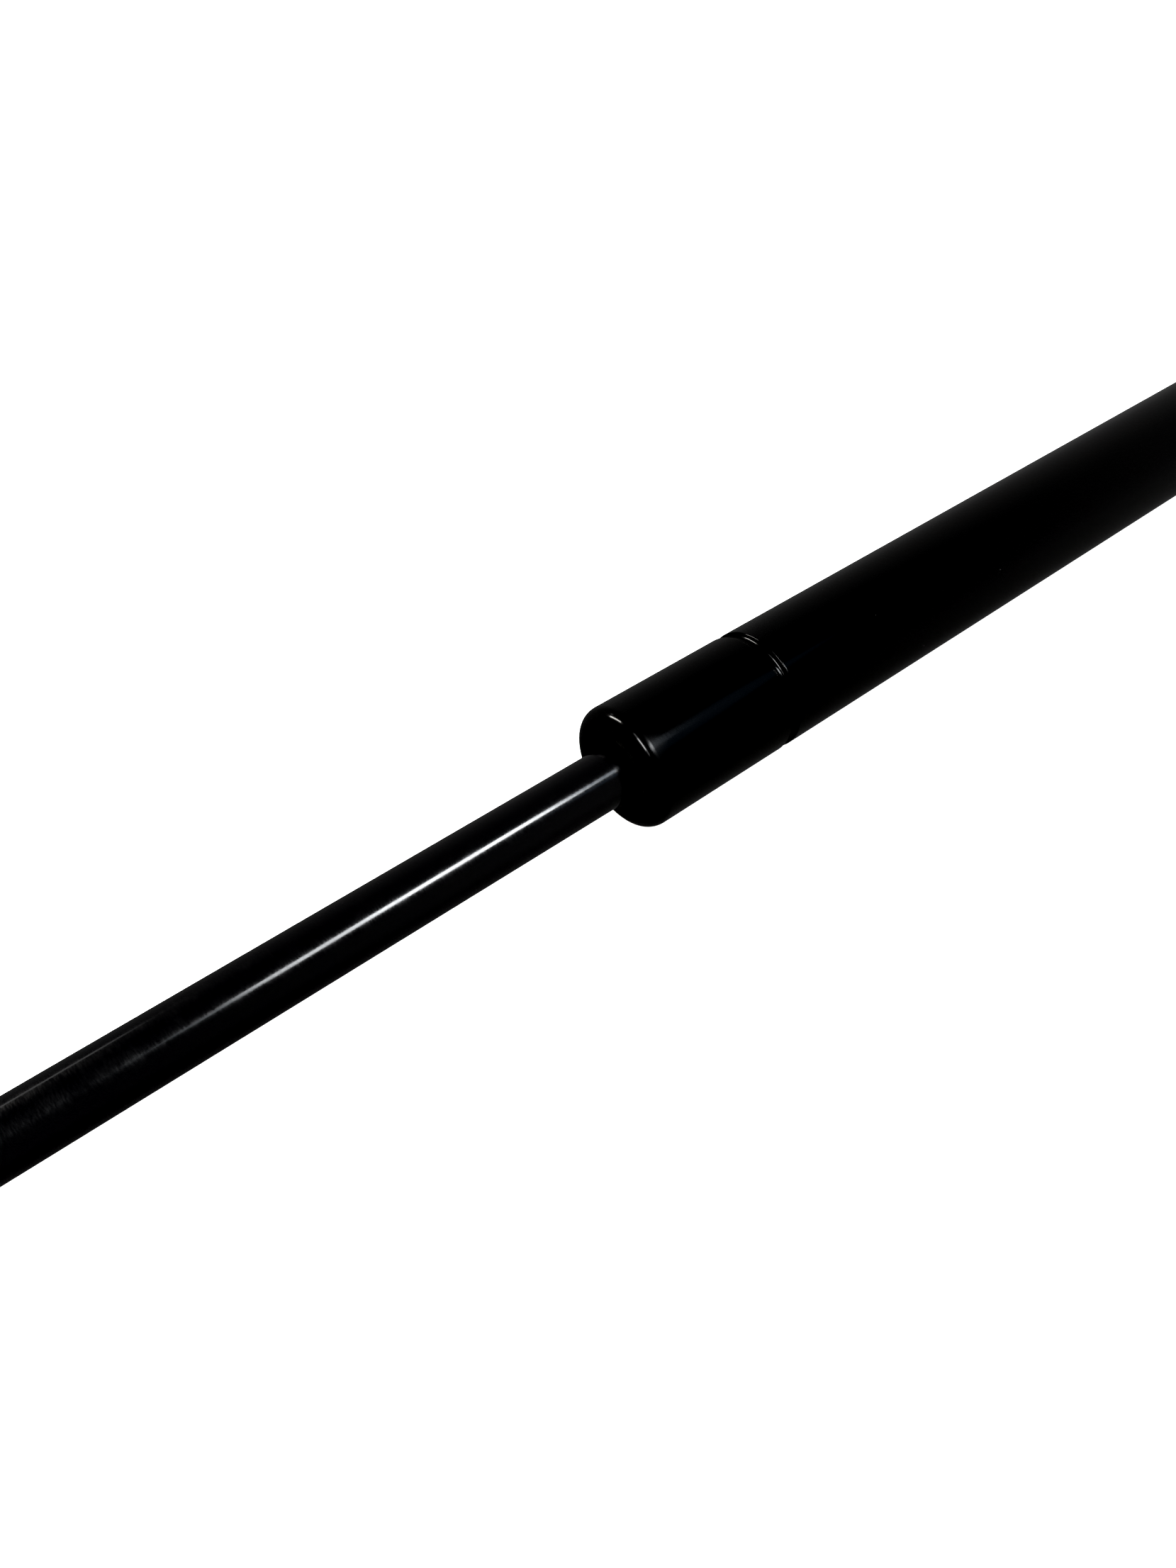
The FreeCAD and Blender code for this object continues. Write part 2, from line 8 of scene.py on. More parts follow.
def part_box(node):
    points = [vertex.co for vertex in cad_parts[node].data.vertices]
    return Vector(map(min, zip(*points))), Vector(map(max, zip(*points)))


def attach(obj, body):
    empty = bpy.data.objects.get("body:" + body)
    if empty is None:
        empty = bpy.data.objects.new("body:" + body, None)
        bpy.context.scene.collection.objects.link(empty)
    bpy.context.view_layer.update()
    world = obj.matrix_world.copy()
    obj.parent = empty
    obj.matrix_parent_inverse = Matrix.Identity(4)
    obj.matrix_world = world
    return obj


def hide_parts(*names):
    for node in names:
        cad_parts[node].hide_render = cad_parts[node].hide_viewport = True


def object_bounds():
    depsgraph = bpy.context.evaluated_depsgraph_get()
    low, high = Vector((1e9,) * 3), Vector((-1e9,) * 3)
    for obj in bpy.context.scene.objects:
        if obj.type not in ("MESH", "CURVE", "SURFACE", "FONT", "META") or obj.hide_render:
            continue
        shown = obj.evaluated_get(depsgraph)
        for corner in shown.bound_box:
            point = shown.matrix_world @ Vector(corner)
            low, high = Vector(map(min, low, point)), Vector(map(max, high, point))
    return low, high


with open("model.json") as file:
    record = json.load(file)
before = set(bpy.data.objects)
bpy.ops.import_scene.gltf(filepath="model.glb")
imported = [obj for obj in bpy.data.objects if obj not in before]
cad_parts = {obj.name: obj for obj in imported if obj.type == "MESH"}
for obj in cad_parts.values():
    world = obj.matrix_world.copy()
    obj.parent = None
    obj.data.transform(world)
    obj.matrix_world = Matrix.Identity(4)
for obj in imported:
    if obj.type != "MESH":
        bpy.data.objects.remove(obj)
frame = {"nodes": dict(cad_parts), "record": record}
cad_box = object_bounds()

# A black gas spring on a pale table, seen along its rod into the rolled mouth of its tube.
# Metres. The spring's axis runs along X: the rod points to -X, the closed end of the tube to +X
# and the ball studs to -Z.

MM = 0.001
MICRON = 1e-6
ALONG_X = Vector((1, 0, 0))
UPWARDS = Vector((0, 0, 1))
FULL_TURN = 2 * math.pi
SMOOTH_ANGLE = math.radians(32)
WELD = 1e-7

# Steps of the round forms
ROUND_STEPS = 128
CORNER_STEPS = 3
ROLL_STEPS = 14
LIP_STEPS = 8
GROOVE_EDGE_STEPS = 8
GROOVE_FLOOR_STEPS = 20
BALL_STEPS = 40
NECK_STEPS = 8
SEAT_STEPS = 16
WIRE_STEPS = 24
THREAD_STEPS = 24
THREAD_SECTION_STEPS = 40

# Places read from the frame
tube_low, tube_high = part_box("pressure_tube")
rod_low, rod_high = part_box("piston_rod")
washer_low, washer_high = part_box("mouth_cover_washer")
plug_low, plug_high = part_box("end_plug")
rod_nut_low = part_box("rod_lock_nut")[0]
nut_low, nut_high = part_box("tube_lock_nut")
socket_low, socket_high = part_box("tube_ball_socket")
stud_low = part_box("tube_ball_stud")[0]
rod_stud_low, rod_stud_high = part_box("rod_ball_stud")
MOUTH_X = tube_low.x
TUBE_END_X = tube_high.x
TUBE_RADIUS = (tube_high.y - tube_low.y) / 2
AXIS_Z = (tube_high.z + tube_low.z) / 2
ROD_BALL_X = (rod_stud_low.x + rod_stud_high.x) / 2
FLOOR_Z = cad_box[0].z

# Tube; an edge and a floor of a groove, or of its ridge in the bore, are the radii of its bends
WALL = 1.25 * MM
ROLL_RADIUS = 2.3 * MM
LIP_HOLE_RADIUS = 5.6 * MM
GROOVE_BEHIND_MOUTH = 25.09 * MM
GROOVE_BEFORE_END = 12.99 * MM
GROOVE_DEPTH = 0.65 * MM
GROOVE_EDGE = 0.25 * MM
GROOVE_FLOOR = 0.9 * MM
RIDGE_EDGE = 0.5 * MM

# Rod and washer
ROD_RADIUS = 4.0 * MM
SPIGOT_RADIUS = 3.0 * MM
RIVET_HEAD_RADIUS = 4.6 * MM
RIVET_HEAD_HEIGHT = 1.6 * MM
RIVET_HEAD_ROUND = 1.2 * MM
SPIGOT_LENGTH = 9.7 * MM
WASHER_BORE = 4.6 * MM
WASHER_CHAMFER = 1.05 * MM

# Threads and hexagons
THREAD_RADIUS = 3.95 * MM
THREAD_LENGTH = 16.0 * MM
THREAD_CHAMFER = 0.8 * MM
THREAD_PITCH = 1.25 * MM
THREAD_DEPTH = 0.61 * THREAD_PITCH
TAPPED_RADIUS = 3.98 * MM
COUNTERSINK = 0.4 * MM
FLATS = 13.0 * MM
HEX_CORNER_RADIUS = FLATS / math.sqrt(3)
HEX_SPARE = 1.0 * MM
HEX_BEVEL = (HEX_CORNER_RADIUS - FLATS / 2) * math.tan(math.radians(30))
HEX_EDGE = 0.2 * MM
SMALL_EDGE = 0.12 * MM

# End plug
PLUG_NOSE_RADIUS = 5.55 * MM
PLUG_RADIUS = 7.7 * MM
PLUG_ROUND = 1.05 * MM
PLUG_RING_FLOOR = 5.91 * MM
PLUG_RING_GROOVE = 2.3 * MM
PLUG_LENGTH = 10.0 * MM
PLUG_DISH_RADIUS = 5.0 * MM
PLUG_DISH_DEPTH = 1.5 * MM

# Ball joints, heights measured from the ball's centre
BALL_RADIUS = 5.0 * MM
BALL_FLAT_RADIUS = 2.0 * MM
SEAT_RADIUS = 5.05 * MM
SOCKET_RADIUS = 8.0 * MM
SOCKET_TOP_ROUND = 2.2 * MM
SOCKET_CHAMFER = 0.8 * MM
SOCKET_NECK_RADIUS = 5.53 * MM
SOCKET_MOUTH_RADIUS = 5.2 * MM
SOCKET_HOLE_LENGTH = 13.0 * MM
RING_WIRE_RADIUS = 0.6 * MM
RING_DROP = 2.6 * MM
RING_RADIUS = 5.026 * MM
RING_GAP = math.radians(22)
RING_GROOVE_RADIUS = 6.376 * MM
RING_GROOVE_HALF = 0.65 * MM
STUD_NECK_RADIUS = 2.9 * MM
STUD_NECK_FLARE = 1.4 * MM
STUD_HEX_HEIGHT = 4.0 * MM
STUD_THREAD_RADIUS = 4.0 * MM
STUD_TIP_CHAMFER = 1.0 * MM
STUD_UNDERCUT_RADIUS = 3.2 * MM
STUD_UNDERCUT_LENGTH = 1.3 * MM

# Finishes
BLACK = (0.0005, 0.0005, 0.0005)
SPECK_CORE = 0.4
SPECK_ROUGHNESS = 0.3
SHARP_STEP = 0.001

# Camera, measured from the photograph: its place from the middle of the mouth, and how it looks
CAMERA_RIGHT = -3.481 * MM
CAMERA_UP = -1.35 * MM
CAMERA_BACK = 149.28 * MM
CAMERA_PITCH = math.radians(47.08)
CAMERA_HEADING = math.radians(50.88)
FOCAL_PIXELS = 1588
PHOTO_HEIGHT = 2212
SENSOR = 36.0
NEAREST_SEEN = 5.0 * MM

# Studio: a white room that black gloss hardly mirrors, and the level below which all is black
FLOOR_SIZE = 20.0
FLOOR_COLOUR = (0.86, 0.86, 0.86, 1)
ROOM_LIGHT = 1.8
ROOM_MIRRORED = 0.13
BLACK_LEVEL = 0.004


def deselect():
    """Leaves nothing selected, because a loaded node or a new piece is selected all over."""
    bpy.ops.object.select_all(action="DESELECT")


def alone(piece):
    """Selects one piece only and makes it the active one."""
    deselect()
    piece.select_set(True)
    bpy.context.view_layer.objects.active = piece


def arc(centre_a, centre_r, radius, start, end, steps):
    """Points of an arc in a section; degrees turn from the first axis towards the second."""
    points = []
    for step in range(steps + 1):
        turn = math.radians(start + (end - start) * step / steps)
        points.append((centre_a + radius * math.cos(turn), centre_r + radius * math.sin(turn)))
    return points


def softened(corners, closed=False):
    """Points of a section from its corners. A corner's third number is the radius that rounds it,
    and closed leads the section back to its first point."""
    points = []
    for index, corner in enumerate(corners):
        here = Vector(corner[:2])
        if len(corner) == 2:
            points.append(tuple(here))
            continue
        before = (Vector(corners[index - 1][:2]) - here).normalized()
        after = (Vector(corners[(index + 1) % len(corners)][:2]) - here).normalized()
        half = before.angle(after) / 2
        centre = here + (before + after).normalized() * corner[2] / math.sin(half)
        start = here + before * corner[2] / math.tan(half) - centre
        sweep = start.angle_signed(here + after * corner[2] / math.tan(half) - centre)
        for step in range(CORNER_STEPS + 1):
            spoke = start.copy()
            spoke.rotate(Matrix.Rotation(-sweep * step / CORNER_STEPS, 2))
            points.append(tuple(centre + spoke))
    return points + points[:1] if closed else points


def drawn(name, points):
    """An object whose edges join the points, drawn by extruding one vertex from point to point."""
    deselect()
    bpy.ops.mesh.primitive_plane_add(size=MM, location=points[0])
    piece = bpy.context.object
    piece.name = name
    bpy.ops.object.transform_apply(location=True, rotation=True, scale=True)
    bpy.ops.object.mode_set(mode="EDIT")
    bpy.ops.mesh.select_all(action="SELECT")
    bpy.ops.mesh.merge(type="CENTER")
    for here, there in zip(points, points[1:]):
        bpy.ops.mesh.extrude_vertices_move(TRANSFORM_OT_translate={"value": there - here})
    bpy.ops.mesh.select_all(action="SELECT")
    bpy.ops.mesh.remove_doubles(threshold=WELD)
    return piece


def spun(name, points, centre, axis):
    """A closed piece: the line through the points, turned all the way round an axis."""
    piece = drawn(name, points)
    bpy.ops.mesh.spin(steps=ROUND_STEPS, angle=FULL_TURN, center=centre, axis=axis)
    close_up()
    return piece


def close_up():
    """Joins seams and poles of the mesh being edited, turns its faces outwards and smooths them."""
    bpy.ops.mesh.select_all(action="SELECT")
    bpy.ops.mesh.remove_doubles(threshold=WELD)
    bpy.ops.mesh.normals_make_consistent(inside=False)
    bpy.ops.object.mode_set(mode="OBJECT")
    bpy.ops.object.shade_smooth_by_angle(angle=SMOOTH_ANGLE)


def turned(name, section):
    """A piece turned about the spring's axis from (x, radius) points."""
    points = [Vector((x, 0, AXIS_Z + r)) for x, r in section]
    return spun(name, points, Vector((0, 0, AXIS_Z)), ALONG_X)


def turned_upright(name, section):
    """A piece turned about the vertical through the tube end's ball, from (radius, height) points."""
    points = [Vector((r, 0, AXIS_Z + height)) for r, height in section]
    return spun(name, points, Vector((0, 0, AXIS_Z)), UPWARDS)


def combined(piece, other, operation):
    """Cuts, joins or trims a piece with another one, which is used up."""
    alone(piece)
    bpy.ops.object.modifier_add(type="BOOLEAN")
    boolean = piece.modifiers[-1]
    boolean.operation = operation
    boolean.solver = "EXACT"
    boolean.object = other
    bpy.ops.object.modifier_apply(modifier=boolean.name)
    bpy.data.objects.remove(other)
    bpy.ops.object.shade_smooth_by_angle(angle=SMOOTH_ANGLE)
    return piece


def copied(piece, name, shift, half_turn=False):
    """A copy for the rod's end, turned round to face the other way where half_turn is set."""
    alone(piece)
    bpy.ops.object.duplicate(linked=False)
    twin = bpy.context.object
    twin.name = name
    if half_turn:
        twin.rotation_euler.z = math.pi
    twin.location.x = shift
    bpy.ops.object.transform_apply(location=True, rotation=True, scale=True)
    return twin


def groove(centre_x, top_r, edge, floor):
    """The three tangent arcs of a rolled groove, or of its ridge in the bore, sunk from a radius."""
    bend_sum = edge + floor
    floor_r = top_r - GROOVE_DEPTH + floor
    slope = math.degrees(math.acos((bend_sum - GROOVE_DEPTH) / bend_sum))
    half_width = bend_sum * math.sin(math.radians(slope))
    return (
        arc(centre_x - half_width, top_r - edge, edge, 90, 90 - slope, GROOVE_EDGE_STEPS)
        + arc(centre_x, floor_r, floor, 270 - slope, 270 + slope, GROOVE_FLOOR_STEPS)[1:-1]
        + arc(centre_x + half_width, top_r - edge, edge, 90 + slope, 90, GROOVE_EDGE_STEPS)
    )


def tube_line(depth_in, edge, floor):
    """The tube's wall from lip to lip, depth_in under its outer surface."""
    top_r = TUBE_RADIUS - depth_in
    bend = ROLL_RADIUS - depth_in
    bend_r = TUBE_RADIUS - ROLL_RADIUS
    lip_r = LIP_HOLE_RADIUS + WALL / 2
    return (
        [(MOUTH_X + depth_in, lip_r)]
        + arc(MOUTH_X + ROLL_RADIUS, bend_r, bend, 180, 90, ROLL_STEPS)
        + groove(MOUTH_X + GROOVE_BEHIND_MOUTH, top_r, edge, floor)
        + groove(TUBE_END_X - GROOVE_BEFORE_END, top_r, edge, floor)
        + arc(TUBE_END_X - ROLL_RADIUS, bend_r, bend, 90, 0, ROLL_STEPS)
        + [(TUBE_END_X - depth_in, lip_r)]
    )


def make_tube():
    """The tube, its wall rolled in over both ends and pressed in at two grooves."""
    lip_r = LIP_HOLE_RADIUS + WALL / 2
    end_lip = arc(TUBE_END_X - WALL / 2, lip_r, WALL / 2, 360, 180, LIP_STEPS)[1:-1]
    mouth_lip = arc(MOUTH_X + WALL / 2, lip_r, WALL / 2, 0, -180, LIP_STEPS)[1:]
    outside = tube_line(0, GROOVE_EDGE, GROOVE_FLOOR)
    inside = tube_line(WALL, RIDGE_EDGE, GROOVE_FLOOR + WALL)
    return turned("tube_wall", outside + end_lip + inside[::-1] + mouth_lip)


def make_rod():
    """The ground rod: threaded tip, long bar, and the stepped end with its rivet head."""
    shoulder_x = rod_low.x + THREAD_LENGTH
    head_x = rod_high.x - RIVET_HEAD_HEIGHT
    step_x = head_x - SPIGOT_LENGTH
    return turned("rod_bar", softened([
        (rod_low.x, 0),
        (rod_low.x, THREAD_RADIUS - THREAD_CHAMFER, SMALL_EDGE),
        (rod_low.x + THREAD_CHAMFER, THREAD_RADIUS, SMALL_EDGE),
        (shoulder_x, THREAD_RADIUS),
        (shoulder_x, ROD_RADIUS),
        (step_x, ROD_RADIUS, SMALL_EDGE),
        (step_x, SPIGOT_RADIUS),
        (head_x, SPIGOT_RADIUS),
        (head_x, RIVET_HEAD_RADIUS, SMALL_EDGE),
        (rod_high.x, RIVET_HEAD_RADIUS, RIVET_HEAD_ROUND),
        (rod_high.x, 0),
    ]))


def make_mouth_washer():
    """The flat washer behind the mouth, chamfered to sit in the roll."""
    outer = (washer_high.y - washer_low.y) / 2
    return turned("mouth_washer", softened([
        (washer_low.x, WASHER_BORE, SMALL_EDGE),
        (washer_high.x, WASHER_BORE, SMALL_EDGE),
        (washer_high.x, outer, SMALL_EDGE),
        (washer_low.x + WASHER_CHAMFER, outer, SMALL_EDGE),
        (washer_low.x, outer - WASHER_CHAMFER, SMALL_EDGE),
    ], closed=True))


def make_plug():
    """The end plug: dished gas side, O-ring groove, rounded shoulder, nose and threaded end."""
    shoulder_x = plug_low.x + PLUG_LENGTH
    ring_x = plug_low.x + PLUG_LENGTH / 2
    nose_x = nut_low.x
    return turned("plug_body", softened([
        (plug_low.x + PLUG_DISH_DEPTH, 0),
        (plug_low.x + PLUG_DISH_DEPTH, PLUG_DISH_RADIUS - PLUG_DISH_DEPTH),
        (plug_low.x, PLUG_DISH_RADIUS, SMALL_EDGE),
        (plug_low.x, PLUG_RADIUS, HEX_EDGE),
        (ring_x - PLUG_RING_GROOVE / 2, PLUG_RADIUS, SMALL_EDGE),
        (ring_x - PLUG_RING_GROOVE / 2, PLUG_RING_FLOOR, SMALL_EDGE),
        (ring_x + PLUG_RING_GROOVE / 2, PLUG_RING_FLOOR, SMALL_EDGE),
        (ring_x + PLUG_RING_GROOVE / 2, PLUG_RADIUS, SMALL_EDGE),
        (shoulder_x - PLUG_ROUND, PLUG_RADIUS, SMALL_EDGE),
        (shoulder_x, PLUG_RADIUS - PLUG_ROUND, SMALL_EDGE),
        (shoulder_x, PLUG_NOSE_RADIUS),
        (nose_x, PLUG_NOSE_RADIUS, HEX_EDGE),
        (nose_x, THREAD_RADIUS),
        (plug_high.x - THREAD_CHAMFER, THREAD_RADIUS, SMALL_EDGE),
        (plug_high.x, THREAD_RADIUS - THREAD_CHAMFER, SMALL_EDGE),
        (plug_high.x, 0),
    ]))


def hexagon(name, height, centre, tip_over=0):
    """A hexagonal prism with some length to spare at both ends, its edges slightly rounded."""
    deselect()
    bpy.ops.mesh.primitive_cylinder_add(
        vertices=6, radius=HEX_CORNER_RADIUS, depth=height + 2 * HEX_SPARE)
    prism = bpy.context.object
    prism.name = name
    prism.rotation_euler.z = math.pi / 2
    bpy.ops.object.transform_apply(location=True, rotation=True, scale=True)
    prism.rotation_euler.y = tip_over
    prism.location = centre
    bpy.ops.object.transform_apply(location=True, rotation=True, scale=True)
    bpy.ops.object.modifier_add(type="BEVEL")
    bevel = prism.modifiers[-1]
    bevel.width = HEX_EDGE
    bevel.segments = CORNER_STEPS
    bevel.limit_method = "ANGLE"
    bevel.angle_limit = math.radians(45)
    bpy.ops.object.modifier_apply(modifier=bevel.name)
    return prism


def make_nut():
    """The lock nut at the tube's end: a bevelled hexagon with a countersunk hole."""
    middle = Vector(((nut_low.x + nut_high.x) / 2, 0, AXIS_Z))
    prism = hexagon("tube_nut", nut_high.x - nut_low.x, middle, math.pi / 2)
    envelope = turned("nut_envelope", softened([
        (nut_low.x, TAPPED_RADIUS + COUNTERSINK, SMALL_EDGE),
        (nut_low.x + COUNTERSINK, TAPPED_RADIUS),
        (nut_high.x - COUNTERSINK, TAPPED_RADIUS),
        (nut_high.x, TAPPED_RADIUS + COUNTERSINK, SMALL_EDGE),
        (nut_high.x, FLATS / 2, HEX_EDGE),
        (nut_high.x - HEX_BEVEL, HEX_CORNER_RADIUS),
        (nut_low.x + HEX_BEVEL, HEX_CORNER_RADIUS),
        (nut_low.x, FLATS / 2, HEX_EDGE),
    ], closed=True))
    return combined(prism, envelope, "INTERSECT")


def make_socket():
    """The ball socket at the tube's end: turned head and neck, tapped hole, cup and ring groove."""
    top = socket_high.z - AXIS_Z
    bottom = socket_low.z - AXIS_Z
    end_x = socket_low.x
    head = turned_upright("tube_socket", softened([
        (0, bottom),
        (SOCKET_RADIUS - SOCKET_CHAMFER, bottom, SMALL_EDGE),
        (SOCKET_RADIUS, bottom + SOCKET_CHAMFER, SMALL_EDGE),
        (SOCKET_RADIUS, top, SOCKET_TOP_ROUND),
        (0, top),
    ]))
    neck = turned("socket_neck", softened([
        (0, 0),
        (0, SOCKET_NECK_RADIUS),
        (end_x + SOCKET_CHAMFER, SOCKET_NECK_RADIUS, SMALL_EDGE),
        (end_x, SOCKET_NECK_RADIUS - SOCKET_CHAMFER, SMALL_EDGE),
        (end_x, 0),
    ]))
    combined(head, neck, "UNION")
    hole = turned("tapped_hole", [
        (end_x + SOCKET_HOLE_LENGTH, 0),
        (end_x + SOCKET_HOLE_LENGTH, TAPPED_RADIUS),
        (end_x + COUNTERSINK, TAPPED_RADIUS),
        (end_x - SMALL_EDGE, TAPPED_RADIUS + COUNTERSINK + SMALL_EDGE),
        (end_x - SMALL_EDGE, 0),
    ])
    combined(head, hole, "DIFFERENCE")
    groove_top = -RING_DROP + RING_GROOVE_HALF
    groove_bottom = -RING_DROP - RING_GROOVE_HALF
    cup = turned_upright("socket_cup", (
        [(0, SEAT_RADIUS)]
        + arc(0, 0, SEAT_RADIUS, 90, 0, SEAT_STEPS)[1:]
        + [
            (SEAT_RADIUS, groove_top),
            (RING_GROOVE_RADIUS, groove_top),
            (RING_GROOVE_RADIUS, groove_bottom),
            (SOCKET_MOUTH_RADIUS, groove_bottom),
            (SOCKET_MOUTH_RADIUS, bottom + SOCKET_CHAMFER),
            (SOCKET_MOUTH_RADIUS + SOCKET_CHAMFER, bottom),
            (SOCKET_MOUTH_RADIUS + SOCKET_CHAMFER, bottom - SMALL_EDGE),
            (0, bottom - SMALL_EDGE),
        ]
    ))
    return combined(head, cup, "DIFFERENCE")


def make_wire_ring():
    """The open ring of round spring wire that holds the ball in its socket."""
    centre = Vector((0, 0, AXIS_Z - RING_DROP))
    deselect()
    bpy.ops.mesh.primitive_circle_add(
        vertices=WIRE_STEPS, radius=RING_WIRE_RADIUS, fill_type="NGON",
        rotation=(math.pi / 2, 0, 0), location=centre + ALONG_X * RING_RADIUS)
    ring = bpy.context.object
    ring.name = "tube_wire_ring"
    bpy.ops.object.transform_apply(location=True, rotation=True, scale=True)
    bpy.ops.object.mode_set(mode="EDIT")
    bpy.ops.mesh.select_all(action="SELECT")
    bpy.ops.mesh.spin(
        steps=ROUND_STEPS // 2, angle=FULL_TURN - RING_GAP, center=centre, axis=UPWARDS)
    close_up()
    alone(ring)
    ring.rotation_euler.z = RING_GAP / 2
    bpy.ops.object.transform_apply(location=True, rotation=True, scale=True)
    return ring


def make_thread(name, radius, low, turns):
    """A right-hand thread that stands on height low: one section, twisted up along its screw."""
    points = []
    half_crest = THREAD_PITCH / 16
    flank = THREAD_PITCH * 5 / 16
    for step in range(THREAD_SECTION_STEPS + 1):
        share = step / THREAD_SECTION_STEPS
        from_crest = abs(share - 0.5) * THREAD_PITCH
        sunk = (from_crest - half_crest) / flank
        r = radius - THREAD_DEPTH * min(1, max(0, sunk))
        points.append(Vector((r * math.cos(FULL_TURN * share), r * math.sin(FULL_TURN * share), low)))
    thread = drawn(name, points)
    bpy.ops.object.mode_set(mode="OBJECT")
    bpy.ops.object.modifier_add(type="SCREW")
    screw = thread.modifiers[-1]
    screw.angle = FULL_TURN
    screw.screw_offset = THREAD_PITCH
    screw.iterations = turns
    screw.steps = THREAD_STEPS
    screw.render_steps = THREAD_STEPS
    bpy.ops.object.modifier_apply(modifier=screw.name)
    bpy.ops.object.mode_set(mode="EDIT")
    bpy.ops.mesh.select_all(action="SELECT")
    bpy.ops.mesh.remove_doubles(threshold=WELD)
    bpy.ops.mesh.fill_holes(sides=0)
    close_up()
    return thread


def make_stud():
    """Ball with its flat top, flared neck, bevelled hexagon, undercut and threaded shank."""
    seat = -AXIS_Z
    hex_top = seat + STUD_HEX_HEIGHT
    hex_middle = seat + STUD_HEX_HEIGHT / 2
    tip = stud_low.z - AXIS_Z
    flare_r = STUD_NECK_RADIUS + STUD_NECK_FLARE
    flat = math.degrees(math.acos(BALL_FLAT_RADIUS / BALL_RADIUS))
    neck = -math.degrees(math.acos(STUD_NECK_RADIUS / BALL_RADIUS))
    stud = turned_upright("tube_stud", (
        [(0, BALL_RADIUS * math.sin(math.radians(flat)))]
        + arc(0, 0, BALL_RADIUS, flat, neck, BALL_STEPS)
        + arc(flare_r, hex_top + STUD_NECK_FLARE, STUD_NECK_FLARE, 180, 270, NECK_STEPS)
        + [(flare_r, hex_middle), (0, hex_middle)]
    ))
    prism = hexagon("stud_hexagon", STUD_HEX_HEIGHT, Vector((0, 0, STUD_HEX_HEIGHT / 2)))
    envelope = turned_upright("hexagon_envelope", softened([
        (0, seat),
        (FLATS / 2, seat, HEX_EDGE),
        (HEX_CORNER_RADIUS, seat + HEX_BEVEL),
        (HEX_CORNER_RADIUS, hex_top - HEX_BEVEL),
        (FLATS / 2, hex_top, HEX_EDGE),
        (0, hex_top),
    ]))
    combined(prism, envelope, "INTERSECT")
    combined(stud, prism, "UNION")
    return combined(stud, make_shank(seat, tip), "UNION")


def make_shank(seat, tip):
    """The threaded shank with its chamfered tip, and a bare undercut that runs into the hexagon."""
    turns = math.ceil((seat - tip) / THREAD_PITCH) + 1
    thread = make_thread("stud_thread", STUD_THREAD_RADIUS, stud_low.z - THREAD_PITCH / 2, turns)
    run_out = seat - STUD_UNDERCUT_LENGTH - THREAD_DEPTH
    outer = STUD_THREAD_RADIUS + SMALL_EDGE
    inner = STUD_UNDERCUT_RADIUS - SMALL_EDGE
    top = run_out + STUD_THREAD_RADIUS - inner
    shank = turned_upright("tube_shank", softened([
        (0, tip),
        (STUD_THREAD_RADIUS - STUD_TIP_CHAMFER, tip, SMALL_EDGE),
        (outer, tip + STUD_TIP_CHAMFER + SMALL_EDGE),
        (outer, run_out - SMALL_EDGE),
        (inner, top),
        (0, top),
    ]))
    combined(shank, thread, "INTERSECT")
    core_low = run_out - THREAD_PITCH
    core_high = seat + STUD_HEX_HEIGHT / 4
    core = turned_upright("shank_core", [
        (0, core_low),
        (STUD_UNDERCUT_RADIUS, core_low),
        (STUD_UNDERCUT_RADIUS, core_high),
        (0, core_high),
    ])
    return combined(shank, core, "UNION")


class Reading:
    """One output of a node; arithmetic on readings adds Math nodes to their tree."""

    def __init__(self, nodes, socket):
        self.nodes = nodes
        self.socket = socket

    def maths(self, operation, first, second):
        return self.nodes.node("ShaderNodeMath", {0: first, 1: second}, operation=operation)

    def __add__(self, other):
        return self.maths("ADD", self, other)

    def __radd__(self, other):
        return self.maths("ADD", other, self)

    def __sub__(self, other):
        return self.maths("SUBTRACT", self, other)

    def __rsub__(self, other):
        return self.maths("SUBTRACT", other, self)

    def __mul__(self, other):
        return self.maths("MULTIPLY", self, other)

    def __rmul__(self, other):
        return self.maths("MULTIPLY", other, self)


class Nodes:
    """A node tree, to which node() adds one node at a time."""

    def __init__(self, tree):
        self.tree = tree

    def node(self, kind, sockets=None, out=0, **settings):
        """Adds a node: its settings come first, then the values or readings of its sockets."""
        made = self.tree.nodes.new(kind)
        for key, value in settings.items():
            setattr(made, key, value)
        for key, value in (sockets or {}).items():
            self.feed(made.inputs[key], value)
        return Reading(self, made.outputs[out])

    def feed(self, socket, value):
        """Links a reading to a socket, or sets a value on it."""
        if isinstance(value, Reading):
            self.tree.links.new(value.socket, socket)
        else:
            socket.default_value = value

    def ramp(self, reading, low, high, to_low=0.0, to_high=1.0):
        """Maps low..high to to_low..to_high, held at both ends."""
        return self.node("ShaderNodeMapRange", {
            "Value": reading, "From Min": low, "From Max": high, "To Min": to_low, "To Max": to_high,
        })


